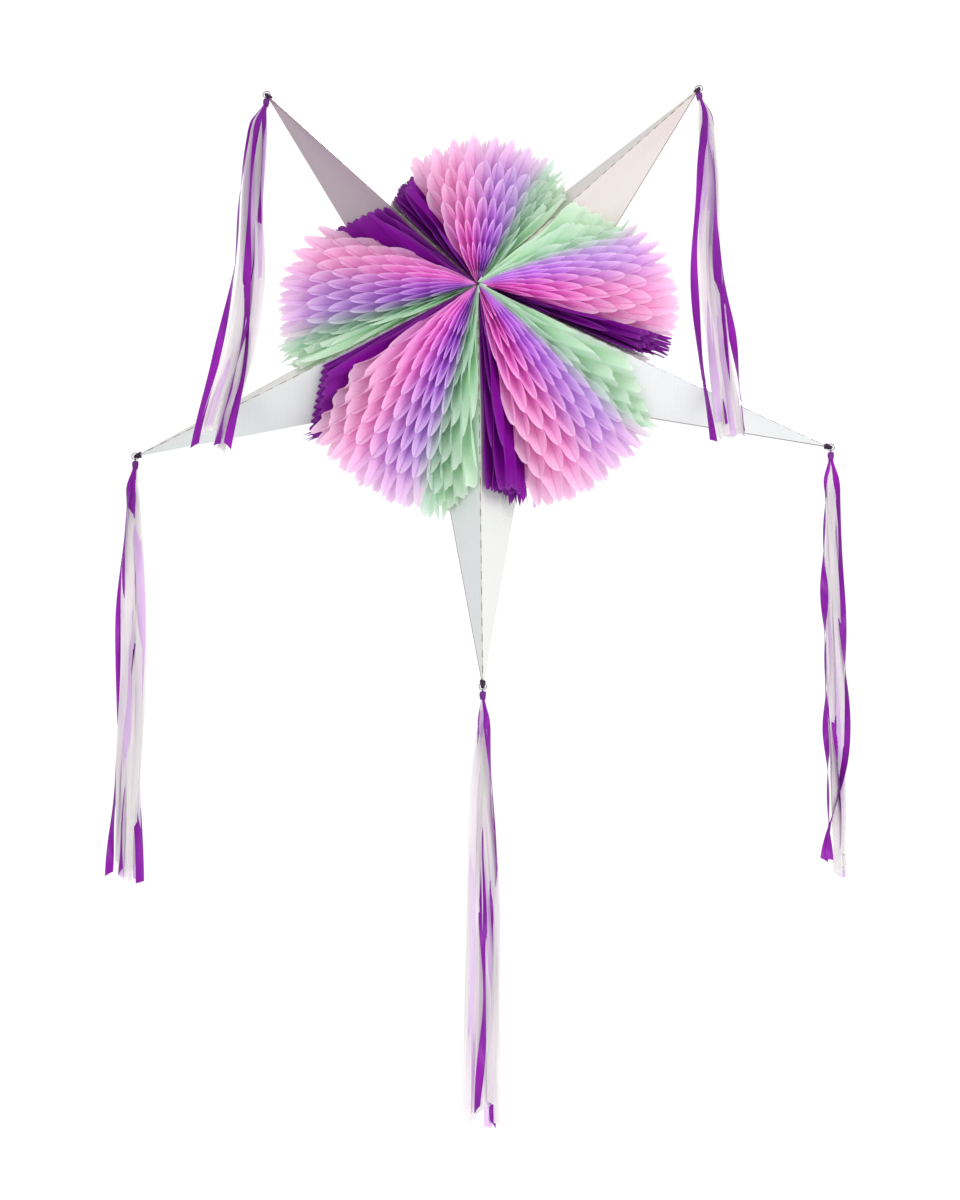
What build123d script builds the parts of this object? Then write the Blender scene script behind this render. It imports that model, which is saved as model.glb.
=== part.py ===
from build123d import *
from math import atan2, cos, degrees, radians, sin
import os

os.makedirs("parts", exist_ok=True)

# Star-shaped pinata, in mm. X to the right, Y to the back, Z up. The origin is the centre of the
# hanging eyelet; the star's middle lies below it and a little in front of it.
CENTRE_Y = -11.0
CENTRE_Z = -102.0

# Card star: five hollow arms, each one blank with three folds and one glued seam.
TIP_RADIUS = 400.0
FRONT_APEX = 176.0
BACK_APEX = 64.0
VALLEY_RADIUS = 96.0
VALLEY_FORWARD = 44.0
CARD_THICKNESS = 2.0
PANEL_OVERRUN = 1.03
ARM_ANGLES = {"bottom": -90.0, "right": -17.5, "upper_right": 53.0, "upper_left": 127.0, "left": 197.5}
ARM_NAMES = list(ARM_ANGLES)

# Honeycomb pads: one page profile turned about the valley fold, (along, off) the fold.
PAD_PROFILE = [(0.0, 0.0), (162.5, 0.0), (217.5, 119.0), (151.0, 127.0)]
PAGE_SHARES = {"mint": 5.0, "lavender": 7.0, "pink": 8.0, "purple": 4.0}
FAN_NAMES = {"bottom": "lower_right", "right": "right", "upper_right": "top", "upper_left": "left"}
FAN_NAMES["left"] = "lower_left"
FLIPPED_FAN = "top"

# Thread loop through each tip, chained to a link and to the tassel's knot.
THREAD_HOLE_RADIUS = 0.8
THREAD_HOLE_INSET = 6.0
THREAD_HOLE_FORWARD = 0.8
LOOP_RADIUS = 4.0
LOOP_WIRE = 0.4
LINK_RADIUS = 1.6
LINK_WIRE = 0.4
LINK_GAP = 0.2
KNOT_RADIUS = 3.0
KNOT_DROP = 5.0

# Tassels: three fringed layers each, cut into strips that part below the knot.
LOWER_TASSEL_LENGTH = 495.0
UPPER_TASSEL_LENGTH = 468.0
STRIP_WIDTH = 9.0
STRIP_THICKNESS = 0.4
STRIP_HEAD_WIDTH = 2.4
STRIP_HEAD_PITCH = 1.8
STRIP_PART_DROP = 60.0
STRIP_STAGGER = 11.0
STRIP_GAP = 0.3
LAYER_PITCH = 1.1
STRIP_COLUMNS = {"purple": (-15.0, 1.0, 15.0), "lavender": (-9.0, 7.0, 18.0), "clear": (-19.0, -5.0, 8.0, 20.0)}
TASSEL_FORWARD_TILT = {"upper_right": 11.0, "upper_left": 11.0}
TASSEL_OUTWARD_TILT = {"upper_right": 4.0, "upper_left": -4.0}

# Filler door over a hole in the back of the right arm, measured from the back hub along and off
# the glued valley.
DOOR_HOLE = (78.0, 20.0, 132.0, 70.0)
DOOR_MARGIN = 7.0
DOOR_GAP = 0.3

# Hanging tab glued into the top valley, with its eyelet.
TAB_THICKNESS = 2.0
TAB_HALF_WIDTH = 22.0
TAB_TOP = 16.0
TAB_CORNER = 6.0
TAB_CLEARANCE = 0.05
EYELET_BORE = 4.0
EYELET_BARREL = 5.0
EYELET_FLANGE = 9.0
EYELET_FLANGE_THICKNESS = 1.0

# Thread binding at the front, where the five ridges meet.
BINDING_RADIUS = 2.0
BINDING_GAP = 0.1


def star_point(radius, angle, forward):
    side = radius * cos(radians(angle))
    height = radius * sin(radians(angle))
    return Vector(side, CENTRE_Y - forward, CENTRE_Z + height)


FRONT_HUB = star_point(0.0, 0.0, FRONT_APEX)
BACK_HUB = star_point(0.0, 0.0, -BACK_APEX)


def valley_angle(index):
    low = ARM_ANGLES[ARM_NAMES[index % 5]]
    high = ARM_ANGLES[ARM_NAMES[(index + 1) % 5]]
    if high < low:
        high = high + 360.0
    return (low + high) / 2.0


def valley_point(index):
    return star_point(VALLEY_RADIUS, valley_angle(index), VALLEY_FORWARD)


def panel_plane(hub, valley, tip):
    along = (valley - hub).normalized()
    normal = along.cross(tip - hub).normalized()
    inside = star_point(0.0, 0.0, 0.0) + (tip - star_point(0.0, 0.0, 0.0)) * 0.3
    if normal.dot(hub - inside) < 0.0:
        normal = normal * -1.0
    return Plane(origin=hub, x_dir=along, z_dir=normal)


def flat_points(plane, points):
    flats = [plane.to_local_coords(point) for point in points]
    return [(flat.X, flat.Y) for flat in flats]


def overrun(tip, point):
    return tip + (point - tip) * PANEL_OVERRUN


def build_arm(name):
    index = ARM_NAMES.index(name)
    angle = ARM_ANGLES[name]
    tip = star_point(TIP_RADIUS, angle, 0.0)
    hole_at = star_point(TIP_RADIUS - THREAD_HOLE_INSET, angle, THREAD_HOLE_FORWARD)
    across = (-sin(radians(angle)), 0.0, cos(radians(angle)))
    with BuildPart() as arm:
        for side in (index - 1, index):
            for hub in (FRONT_HUB, BACK_HUB):
                plane = panel_plane(hub, valley_point(side), tip)
                corners = [tip, overrun(tip, hub), overrun(tip, valley_point(side))]
                with BuildSketch(plane):
                    with BuildLine():
                        Polyline(*flat_points(plane, corners), close=True)
                    make_face()
                extrude(amount=-CARD_THICKNESS)
        for side in (index - 1, index):
            for hub in (FRONT_HUB, BACK_HUB):
                split(bisect_by=panel_plane(hub, valley_point(side), tip), keep=Keep.BOTTOM)
        for side, keep in ((index - 1, Keep.TOP), (index, Keep.BOTTOM)):
            beta = radians(valley_angle(side))
            wall = Plane(origin=FRONT_HUB, x_dir=(0.0, 1.0, 0.0), z_dir=(-sin(beta), 0.0, cos(beta)))
            split(bisect_by=wall, keep=keep)
        with BuildSketch(Plane(origin=hole_at, x_dir=(0.0, 1.0, 0.0), z_dir=across)):
            Circle(THREAD_HOLE_RADIUS)
        extrude(amount=2.0 * KNOT_RADIUS, both=True, mode=Mode.SUBTRACT)
        if name == "right":
            low_x, low_y, high_x, high_y = DOOR_HOLE
            with BuildSketch(panel_plane(BACK_HUB, valley_point(index), tip)) as mouth:
                with Locations(((low_x + high_x) / 2.0, door_sign() * (low_y + high_y) / 2.0)):
                    Rectangle(high_x - low_x, high_y - low_y)
            extrude(amount=3.0 * CARD_THICKNESS, both=True, mode=Mode.SUBTRACT)
    arm.part.label = "arm_" + name
    export_step(arm.part, "parts/arm_" + name + ".step")


def door_plane():
    index = ARM_NAMES.index("right")
    tip = star_point(TIP_RADIUS, ARM_ANGLES["right"], 0.0)
    return panel_plane(BACK_HUB, valley_point(index), tip)


def door_sign():
    tip = star_point(TIP_RADIUS, ARM_ANGLES["right"], 0.0)
    return 1.0 if door_plane().to_local_coords(tip).Y > 0.0 else -1.0


def build_door():
    low_x, low_y, high_x, high_y = DOOR_HOLE
    width = high_x - low_x + 2.0 * DOOR_MARGIN
    depth = high_y - low_y + 2.0 * DOOR_MARGIN
    with BuildPart() as door:
        with BuildSketch(door_plane().offset(DOOR_GAP)):
            with Locations(((low_x + high_x) / 2.0, door_sign() * (low_y + high_y) / 2.0)):
                RectangleRounded(width, depth, DOOR_MARGIN / 2.0)
        extrude(amount=CARD_THICKNESS)
    door.part.label = "filler_door"
    export_step(door.part, "parts/filler_door.step")


def build_pad(fan, colour, index, start_share, end_share):
    beta = radians(valley_angle(index))
    lateral = Vector(-sin(beta), 0.0, cos(beta))
    along = (valley_point(index) - FRONT_HUB).normalized()
    middle = lateral.cross(along).normalized()
    if middle.dot(Vector(cos(beta), 0.0, sin(beta))) < 0.0:
        middle = middle * -1.0
    ends = []
    for arm in (ARM_NAMES[(index + 1) % 5], ARM_NAMES[index % 5]):
        reach = star_point(TIP_RADIUS, ARM_ANGLES[arm], 0.0) - FRONT_HUB
        ends.append(degrees(atan2(reach.dot(lateral), reach.dot(middle))))
    spread = ends[0] - ends[1]
    first = radians(ends[0] - spread * start_share)
    page = middle * cos(first) + lateral * sin(first)
    with BuildPart() as pad:
        with BuildSketch(Plane(origin=FRONT_HUB, x_dir=along, z_dir=along.cross(page))):
            with BuildLine():
                Polyline(*PAD_PROFILE, close=True)
            make_face()
        revolve(axis=Axis(FRONT_HUB, along), revolution_arc=spread * (end_share - start_share))
    name = "pad_" + fan + "_" + colour
    pad.part.label = name
    export_step(pad.part, "parts/" + name + ".step")


def build_fan(index):
    fan = FAN_NAMES[ARM_NAMES[index]]
    colours = list(PAGE_SHARES)
    if fan == FLIPPED_FAN:
        colours = colours[::-1]
    total = sum(PAGE_SHARES.values())
    start = 0.0
    for colour in colours:
        end = start + PAGE_SHARES[colour] / total
        build_pad(fan, colour, index, start, end)
        start = end


def tassel_frame(name):
    tilt = radians(TASSEL_FORWARD_TILT.get(name, 0.0))
    turn = radians(TASSEL_OUTWARD_TILT.get(name, 0.0))
    face = Vector(0.0, -cos(tilt), sin(tilt))
    link_down = Vector(0.0, -sin(tilt), -cos(tilt))
    down = link_down * cos(turn) + Vector(1.0, 0.0, 0.0) * sin(turn)
    side = Vector(1.0, 0.0, 0.0) * cos(turn) - link_down * sin(turn)
    return face, link_down, down, side


def loop_centre(name):
    return star_point(TIP_RADIUS - THREAD_HOLE_INSET + LOOP_RADIUS, ARM_ANGLES[name], THREAD_HOLE_FORWARD)


def link_centre(name):
    link_down = tassel_frame(name)[1]
    hook = loop_centre(name) - Vector(0.0, 0.0, LOOP_RADIUS)
    return hook + link_down * (LINK_RADIUS - LINK_WIRE - LOOP_WIRE - LINK_GAP)


def knot_pivot(name):
    return link_centre(name) + tassel_frame(name)[1] * LINK_RADIUS


def build_loop(name):
    with BuildPart(Plane(origin=loop_centre(name), z_dir=(0.0, -1.0, 0.0))) as loop:
        Torus(LOOP_RADIUS, LOOP_WIRE)
    loop.part.label = "loop_" + name
    export_step(loop.part, "parts/loop_" + name + ".step")


def build_link(name):
    with BuildPart(Plane(origin=link_centre(name), z_dir=(1.0, 0.0, 0.0))) as link:
        Torus(LINK_RADIUS, LINK_WIRE)
    link.part.label = "link_" + name
    export_step(link.part, "parts/link_" + name + ".step")


def build_knot(name):
    face, link_down, down, side = tassel_frame(name)
    eye = knot_pivot(name) + down * (LINK_RADIUS - 2.0 * LINK_WIRE - LINK_GAP)
    with BuildPart() as knot:
        with Locations(Plane(origin=eye, x_dir=side, z_dir=face)):
            Torus(LINK_RADIUS, LINK_WIRE)
        with Locations(Plane(origin=knot_pivot(name) + down * KNOT_DROP, x_dir=side, z_dir=face)):
            Sphere(KNOT_RADIUS)
    knot.part.label = "knot_" + name
    export_step(knot.part, "parts/knot_" + name + ".step")


def build_strips(name, colour, layer):
    face, link_down, down, side = tassel_frame(name)
    head = knot_pivot(name) + down * (KNOT_DROP + KNOT_RADIUS + STRIP_GAP)
    columns = STRIP_COLUMNS[colour]
    length = UPPER_TASSEL_LENGTH if name.startswith("upper") else LOWER_TASSEL_LENGTH
    base = Plane(origin=head, x_dir=side, z_dir=face).offset(layer * LAYER_PITCH - STRIP_THICKNESS / 2.0)
    half = STRIP_WIDTH / 2.0
    with BuildPart() as strips:
        with BuildSketch(base):
            for place, column in enumerate(columns):
                top = (place - (len(columns) - 1) / 2.0) * STRIP_HEAD_PITCH
                foot = -length + STRIP_STAGGER * ((2 * place + layer) % 3)
                outline = [(top - STRIP_HEAD_WIDTH / 2.0, 0.0), (top + STRIP_HEAD_WIDTH / 2.0, 0.0)]
                outline = outline + [(column + half, -STRIP_PART_DROP), (column + half, foot)]
                outline = outline + [(column - half, foot), (column - half, -STRIP_PART_DROP)]
                with BuildLine():
                    Polyline(*outline, close=True)
                make_face()
        extrude(amount=STRIP_THICKNESS)
    label = "strips_" + colour + "_" + name
    strips.part.label = label
    export_step(strips.part, "parts/" + label + ".step")


def build_hang_tab():
    valley = valley_point(ARM_NAMES.index("upper_right"))
    back_drop = (BACK_HUB.Y - (-TAB_THICKNESS / 2.0)) / (BACK_HUB.Y - valley.Y)
    foot = BACK_HUB.Z + (valley.Z - BACK_HUB.Z) * back_drop + TAB_CLEARANCE
    tip = star_point(TIP_RADIUS, ARM_ANGLES["upper_right"], 0.0)
    normal = panel_plane(BACK_HUB, valley, tip).z_dir
    rise = abs(normal.X / normal.Z) * TAB_HALF_WIDTH
    shoulder = TAB_HALF_WIDTH - TAB_CORNER
    outline = [(0.0, foot), (TAB_HALF_WIDTH, foot + rise), (TAB_HALF_WIDTH, TAB_TOP - TAB_CORNER)]
    outline = outline + [(shoulder, TAB_TOP), (-shoulder, TAB_TOP), (-TAB_HALF_WIDTH, TAB_TOP - TAB_CORNER)]
    outline = outline + [(-TAB_HALF_WIDTH, foot + rise)]
    with BuildPart() as tab:
        with BuildSketch(Plane(origin=(0.0, 0.0, 0.0), x_dir=(1.0, 0.0, 0.0), z_dir=(0.0, -1.0, 0.0))):
            with BuildLine():
                Polyline(*outline, close=True)
            make_face()
            Circle(EYELET_BARREL, mode=Mode.SUBTRACT)
        extrude(amount=TAB_THICKNESS / 2.0, both=True)
    tab.part.label = "hang_tab"
    export_step(tab.part, "parts/hang_tab.step")


def build_hang_eyelet():
    half = TAB_THICKNESS / 2.0
    outer = half + EYELET_FLANGE_THICKNESS
    barrel = EYELET_BARREL - BINDING_GAP
    outline = [(EYELET_BORE, -outer), (EYELET_FLANGE, -outer), (EYELET_FLANGE, -half), (barrel, -half)]
    outline = outline + [(barrel, half), (EYELET_FLANGE, half), (EYELET_FLANGE, outer), (EYELET_BORE, outer)]
    with BuildPart() as eyelet:
        with BuildSketch(Plane.XY):
            with BuildLine():
                Polyline(*outline, close=True)
            make_face()
        revolve(axis=Axis.Y)
    eyelet.part.label = "hang_eyelet"
    export_step(eyelet.part, "parts/hang_eyelet.step")


def build_binding():
    at = FRONT_HUB - Vector(0.0, BINDING_RADIUS + BINDING_GAP, 0.0)
    with BuildPart() as binding:
        with Locations(at):
            Sphere(BINDING_RADIUS)
    binding.part.label = "centre_binding"
    export_step(binding.part, "parts/centre_binding.step")


for arm_name in ARM_NAMES:
    build_arm(arm_name)
    build_loop(arm_name)
    build_link(arm_name)
    build_knot(arm_name)
    for layer_number, strip_colour in enumerate(STRIP_COLUMNS):
        build_strips(arm_name, strip_colour, 1 - layer_number)
for fan_index in range(5):
    build_fan(fan_index)
build_door()
build_hang_tab()
build_hang_eyelet()
build_binding()
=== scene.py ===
import math
import random
import bpy
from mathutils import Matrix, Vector


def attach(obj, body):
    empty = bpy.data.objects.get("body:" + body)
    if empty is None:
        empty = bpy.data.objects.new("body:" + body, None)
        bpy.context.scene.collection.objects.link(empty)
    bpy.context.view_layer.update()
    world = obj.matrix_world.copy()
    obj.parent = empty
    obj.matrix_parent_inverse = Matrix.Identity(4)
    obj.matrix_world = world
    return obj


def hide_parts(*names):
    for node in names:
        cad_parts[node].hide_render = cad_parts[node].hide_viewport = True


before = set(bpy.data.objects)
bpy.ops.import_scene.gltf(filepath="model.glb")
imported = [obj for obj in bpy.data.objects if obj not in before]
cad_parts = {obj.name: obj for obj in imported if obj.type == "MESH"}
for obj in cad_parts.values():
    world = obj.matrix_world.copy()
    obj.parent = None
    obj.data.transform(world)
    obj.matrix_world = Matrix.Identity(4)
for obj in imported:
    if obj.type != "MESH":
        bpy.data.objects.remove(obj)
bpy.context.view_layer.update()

# The star's own dimensions, in metres, as the CAD has them.
CENTRE = Vector((0.0, -0.011, -0.102))
TIP_RADIUS = 0.400
FRONT_APEX = 0.176
VALLEY_RADIUS = 0.096
VALLEY_FORWARD = 0.044
ARM_ANGLES = {
    "bottom": -90.0,
    "right": -17.5,
    "upper_right": 53.0,
    "upper_left": 127.0,
    "left": 197.5,
}
ARM_NAMES = list(ARM_ANGLES)
# Each fan is named here by the arm on its clockwise side.
FAN_NAMES = {
    "bottom": "lower_right",
    "right": "right",
    "upper_right": "top",
    "upper_left": "left",
    "left": "lower_left",
}


def star_point(radius, angle, forward):
    turn = math.radians(angle)
    return CENTRE + Vector((radius * math.cos(turn), -forward, radius * math.sin(turn)))


def valley_angle(index):
    low = ARM_ANGLES[ARM_NAMES[index % 5]]
    high = ARM_ANGLES[ARM_NAMES[(index + 1) % 5]]
    if high < low:
        high += 360.0
    return (low + high) / 2.0


FRONT_HUB = star_point(0.0, 0.0, FRONT_APEX)

# Camera: a long lens looking up at the hanging star from below.
ELEVATION, AZIMUTH = math.radians(-23.5), math.radians(1.8)
DISTANCE, FRAME_WIDTH, SENSOR_WIDTH = 12.0, 1.052, 36.0
# How far the middle of the frame stands to the left of the star's centre, and below it.
AIM_LEFT, AIM_BELOW = 0.003, 0.2712
right = Vector((math.cos(AZIMUTH), math.sin(AZIMUTH), 0.0))
ahead = Vector((-math.sin(AZIMUTH), math.cos(AZIMUTH), 0.0))
look = ahead * math.cos(ELEVATION) - Vector((0.0, 0.0, math.sin(ELEVATION)))
up = right.cross(look)
camera = bpy.data.objects.new("camera", bpy.data.cameras.new("camera"))
bpy.context.scene.collection.objects.link(camera)
camera.location = CENTRE - look * DISTANCE - right * AIM_LEFT - up * AIM_BELOW
camera.rotation_euler = look.to_track_quat("-Z", "Y").to_euler()
camera.data.sensor_fit = "HORIZONTAL"
camera.data.sensor_width = SENSOR_WIDTH
camera.data.lens = SENSOR_WIDTH * DISTANCE / FRAME_WIDTH
camera.data.clip_end = 100.0
bpy.context.scene.camera = camera


# ---------------------------------------------------------------- node helpers
def new_material(name):
    material = bpy.data.materials.new(name)
    material.use_nodes = True
    tree = material.node_tree
    return material, tree, tree.nodes["Principled BSDF"]


def node(tree, kind, inputs=None, **settings):
    made = tree.nodes.new(kind)
    for key, value in settings.items():
        setattr(made, key, value)
    for key, value in (inputs or {}).items():
        if isinstance(value, bpy.types.NodeSocket):
            tree.links.new(value, made.inputs[key])
        else:
            made.inputs[key].default_value = value
    return made


def math_node(tree, operation, *values, clamp=False):
    made = node(tree, "ShaderNodeMath", dict(enumerate(values)), operation=operation, use_clamp=clamp)
    return made.outputs[0]


def vector_node(tree, operation, *values):
    made = node(tree, "ShaderNodeVectorMath", dict(enumerate(values)), operation=operation)
    return made.outputs["Value"] if operation in ("DOT_PRODUCT", "LENGTH") else made.outputs["Vector"]


def mix_colour(tree, factor, first, second, blend="MIX"):
    made = node(tree, "ShaderNodeMix", {0: factor}, data_type="RGBA", blend_type=blend)
    for socket, value in ((made.inputs[6], first), (made.inputs[7], second)):
        if isinstance(value, bpy.types.NodeSocket):
            tree.links.new(value, socket)
        else:
            socket.default_value = value
    return made.outputs[2]


def noise(tree, vector, scale, detail=3.0, roughness=0.5):
    inputs = {"Vector": vector, "Scale": scale, "Detail": detail, "Roughness": roughness}
    return node(tree, "ShaderNodeTexNoise", inputs).outputs[0]


def bump(tree, shader, height, strength, distance):
    made = node(tree, "ShaderNodeBump", {"Height": height, "Strength": strength, "Distance": distance})
    tree.links.new(made.outputs[0], shader.inputs["Normal"])
    return made.outputs[0]


def let_light_through(tree, shader, colour, normal, share):
    """Mix a translucent shader with this one, for this share of the light."""
    glow = node(tree, "ShaderNodeBsdfTranslucent", {"Color": colour, "Normal": normal})
    both = node(tree, "ShaderNodeMixShader", {0: share, 1: shader.outputs[0], 2: glow.outputs[0]})
    tree.links.new(both.outputs[0], tree.nodes["Material Output"].inputs[0])


def object_coords(tree):
    return node(tree, "ShaderNodeTexCoord").outputs["Object"]


# ---------------------------------------------------------------- materials
DOOR_TINT, TAB_TINT = (0.78, 0.72, 0.70), (0.66, 0.61, 0.58)
KRAFT = (0.16, 0.10, 0.05, 1.0)
PEARL_GREEN, PEARL_ROSE = (0.91, 0.98, 0.95, 1.0), (1.0, 0.94, 0.99, 1.0)
# The ridge is a row of cuts, and the seam a plain line of bare card edge.
CUT_PITCH, CUT_SHARE, CUT_HALF_WIDTH, CUT_WOBBLE = 0.0169, 0.5, 0.0010, 0.0012
CUT_STRENGTH, FOLD_STRENGTH = 0.50, 0.35
SEAM_HALF_WIDTH, SEAM_STRENGTH = 0.0013, 0.8
# The laminate is pearlescent, and each of an arm's two front panels gets its own colour, which also holds
# painted shade and light for how that panel faces the lamps, and on the upper left arm a painted reflection
# of the purple tissue: first the panel on the anticlockwise side of its ridge, then the other.
PANEL_SHADE_TINTS = {
    "bottom": ((0.71, 0.72, 0.69), (0.69, 0.72, 0.71)),
    "right": ((0.78, 0.72, 0.70), (0.80, 0.82, 0.82)),
    "upper_right": ((0.52, 0.47, 0.42), (0.71, 0.65, 0.61)),
    "upper_left": ((0.43, 0.33, 0.38), (0.46, 0.45, 0.38)),
    "left": ((0.69, 0.71, 0.70), (0.68, 0.65, 0.60)),
}


def line_distance(tree, place, start, end):
    along = (end - start).normalized()
    offset = vector_node(tree, "SUBTRACT", place, tuple(start))
    distance = vector_node(tree, "LENGTH", vector_node(tree, "CROSS_PRODUCT", offset, tuple(along)))
    return distance, vector_node(tree, "DOT_PRODUCT", offset, tuple(along))


def card_material(name, tints_and_shade, across=(0.0, 0.0, 1.0), ridge=None, seam=None):
    material, tree, shader = new_material(name)
    place = object_coords(tree)
    offset = vector_node(tree, "SUBTRACT", place, tuple(CENTRE))
    # Each side of the ridge takes its own colour, with that panel's painted shade and light.
    shade_side = math_node(tree, "GREATER_THAN", vector_node(tree, "DOT_PRODUCT", offset, across), 0.0)
    tint_and_shade = mix_colour(tree, shade_side, (*tints_and_shade[1], 1.0), (*tints_and_shade[0], 1.0))
    cloud = noise(tree, place, 4.0, 0.0)
    pearl = mix_colour(tree, cloud, PEARL_GREEN, PEARL_ROSE)
    colour = mix_colour(tree, 1.0, tint_and_shade, pearl, "MULTIPLY")
    fluting = {"Vector": place, "Scale": 90.0, "Distortion": 0.6, "Detail": 1.0}
    flute = node(tree, "ShaderNodeTexWave", fluting).outputs[1]
    grain = noise(tree, place, 900.0, 2.0)
    if ridge:
        distance, along = line_distance(tree, place, *ridge)
        ragged = noise(tree, place, 60.0, 1.0)
        wobble = math_node(tree, "MULTIPLY_ADD", ragged, CUT_WOBBLE, -CUT_WOBBLE / 2.0)
        near = math_node(tree, "LESS_THAN", math_node(tree, "ADD", distance, wobble), CUT_HALF_WIDTH)
        phase = math_node(tree, "FRACT", math_node(tree, "MULTIPLY", along, 1.0 / CUT_PITCH))
        dash = math_node(tree, "LESS_THAN", phase, CUT_SHARE)
        strength = math_node(tree, "MULTIPLY_ADD", dash, CUT_STRENGTH, FOLD_STRENGTH)
        colour = mix_colour(tree, math_node(tree, "MULTIPLY", near, strength), colour, KRAFT)
    if seam:
        distance, along = line_distance(tree, place, *seam)
        near = math_node(tree, "LESS_THAN", distance, SEAM_HALF_WIDTH)
        colour = mix_colour(tree, math_node(tree, "MULTIPLY", near, SEAM_STRENGTH), colour, KRAFT)
    tree.links.new(colour, shader.inputs["Base Color"])
    rough = math_node(tree, "MULTIPLY_ADD", noise(tree, place, 9.0, 1.0), 0.08, 0.24)
    tree.links.new(rough, shader.inputs["Roughness"])
    shader.inputs["Specular IOR Level"].default_value = 0.6
    shader.inputs["Coat Weight"].default_value = 0.35
    shader.inputs["Coat Roughness"].default_value = 0.12
    height = math_node(tree, "MULTIPLY_ADD", grain, 0.25, math_node(tree, "MULTIPLY", flute, 0.6))
    bump(tree, shader, height, 0.12, 0.0006)
    return material


# How far in from its cut edge a page is painted lighter, how wide the painted highlight on its lip is, and
# their colours.
EDGE_LIGHT_FADE, LIP_HIGHLIGHT_WIDTH = 0.026, 0.0035
EDGE_LIGHT_PALE, LIP_HIGHLIGHT, FIBRE_PALE = (1.0, 0.86, 0.96, 1.0), (1.0, 0.92, 0.98, 1.0), (1.0, 0.97, 1.0, 1.0)


def tissue_material(name, glow_share, paling):
    """Dyed tissue: the dye, with painted light from the fan's depth, is on the mesh; the colour is painted
    paler towards the cut edges, where the pages are single, with a painted highlight on the lip.
    """
    material, tree, shader = new_material(name)
    uv = node(tree, "ShaderNodeTexCoord").outputs["UV"]
    parts = node(tree, "ShaderNodeSeparateXYZ", {0: uv}).outputs
    place = object_coords(tree)
    base = node(tree, "ShaderNodeAttribute", attribute_name="page_dye_and_light").outputs["Color"]
    inward = parts[1]
    # Painted light: the page is painted paler towards its cut edge, and a painted highlight runs along the
    # lip.
    light_fade = math_node(tree, "SUBTRACT", 1.0, math_node(tree, "MULTIPLY", inward, 1.0 / EDGE_LIGHT_FADE), clamp=True)
    lip_highlight_mask = math_node(tree, "SUBTRACT", 1.0, math_node(tree, "MULTIPLY", inward, 1.0 / LIP_HIGHLIGHT_WIDTH), clamp=True)
    pale = mix_colour(tree, 0.22 * paling, base, EDGE_LIGHT_PALE)
    colour = mix_colour(tree, light_fade, base, pale)
    lip_highlight_share = math_node(tree, "MULTIPLY", lip_highlight_mask, 0.34 * paling)
    colour = mix_colour(tree, lip_highlight_share, colour, LIP_HIGHLIGHT)
    fibre = noise(tree, place, 260.0, 4.0, 0.65)
    fibre_share = math_node(tree, "MULTIPLY", fibre, 0.10 * paling)
    colour = mix_colour(tree, fibre_share, colour, FIBRE_PALE)
    tree.links.new(colour, shader.inputs["Base Color"])
    shader.inputs["Roughness"].default_value = 0.72
    shader.inputs["Specular IOR Level"].default_value = 0.18 if paling > 0.5 else 0.03
    shader.inputs["Sheen Weight"].default_value = 0.12 * paling
    shader.inputs["Sheen Roughness"].default_value = 0.5
    crease = noise(tree, vector_node(tree, "MULTIPLY", uv, (500.0, 45.0, 1.0)), 1.0, 3.0)
    height = math_node(tree, "ADD", crease, math_node(tree, "MULTIPLY", fibre, 0.5))
    normal = bump(tree, shader, height, 0.30, 0.0006)
    let_light_through(tree, shader, colour, normal, glow_share)
    return material


def strip_material(name, base, pale, through):
    """Thin streamer ribbon: fine pleats along its length and soft crumples across it."""
    material, tree, shader = new_material(name)
    uv = node(tree, "ShaderNodeTexCoord").outputs["UV"]
    place = object_coords(tree)
    streak = noise(tree, vector_node(tree, "MULTIPLY", uv, (560.0, 9.0, 1.0)), 1.0, 3.0, 0.6)
    slow = noise(tree, vector_node(tree, "MULTIPLY", place, (60.0, 60.0, 9.0)), 1.0, 2.0)
    dark = tuple(channel * 0.80 for channel in base[:3]) + (1.0,)
    colour = mix_colour(tree, math_node(tree, "MULTIPLY_ADD", streak, 1.6, -0.55, clamp=True), base, dark)
    colour = mix_colour(tree, math_node(tree, "MULTIPLY_ADD", slow, 2.2, -0.95, clamp=True), colour, pale)
    tree.links.new(colour, shader.inputs["Base Color"])
    shader.inputs["Roughness"].default_value = 0.42
    shader.inputs["Specular IOR Level"].default_value = 0.3
    shader.inputs["Sheen Weight"].default_value = 0.05
    wrinkle = noise(tree, vector_node(tree, "MULTIPLY", uv, (150.0, 30.0, 1.0)), 1.0, 2.0)
    height = math_node(tree, "ADD", math_node(tree, "MULTIPLY", streak, 0.6), wrinkle)
    normal = bump(tree, shader, height, 0.24, 0.0006)
    let_light_through(tree, shader, colour, normal, through)
    return material


def thread_material(name, base, metal=False):
    material, tree, shader = new_material(name)
    place = object_coords(tree)
    dark = tuple(channel * 0.6 for channel in base[:3]) + (1.0,)
    if metal:
        scuff = noise(tree, place, 350.0, 3.0)
        colour = mix_colour(tree, math_node(tree, "MULTIPLY", scuff, 0.5), base, dark)
        rough = math_node(tree, "MULTIPLY_ADD", scuff, 0.2, 0.16)
        tree.links.new(colour, shader.inputs["Base Color"])
        tree.links.new(rough, shader.inputs["Roughness"])
        shader.inputs["Metallic"].default_value = 1.0
        bump(tree, shader, scuff, 0.1, 0.0002)
    else:
        # The darker bands lie in the grooves between the twisted strands: painted shade.
        strands = {"Vector": place, "Scale": 500.0, "Distortion": 1.5}
        twist = node(tree, "ShaderNodeTexWave", strands, bands_direction="DIAGONAL").outputs[1]
        tree.links.new(mix_colour(tree, twist, dark, base), shader.inputs["Base Color"])
        shader.inputs["Roughness"].default_value = 0.7
        bump(tree, shader, twist, 0.6, 0.0003)
    return material
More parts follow.
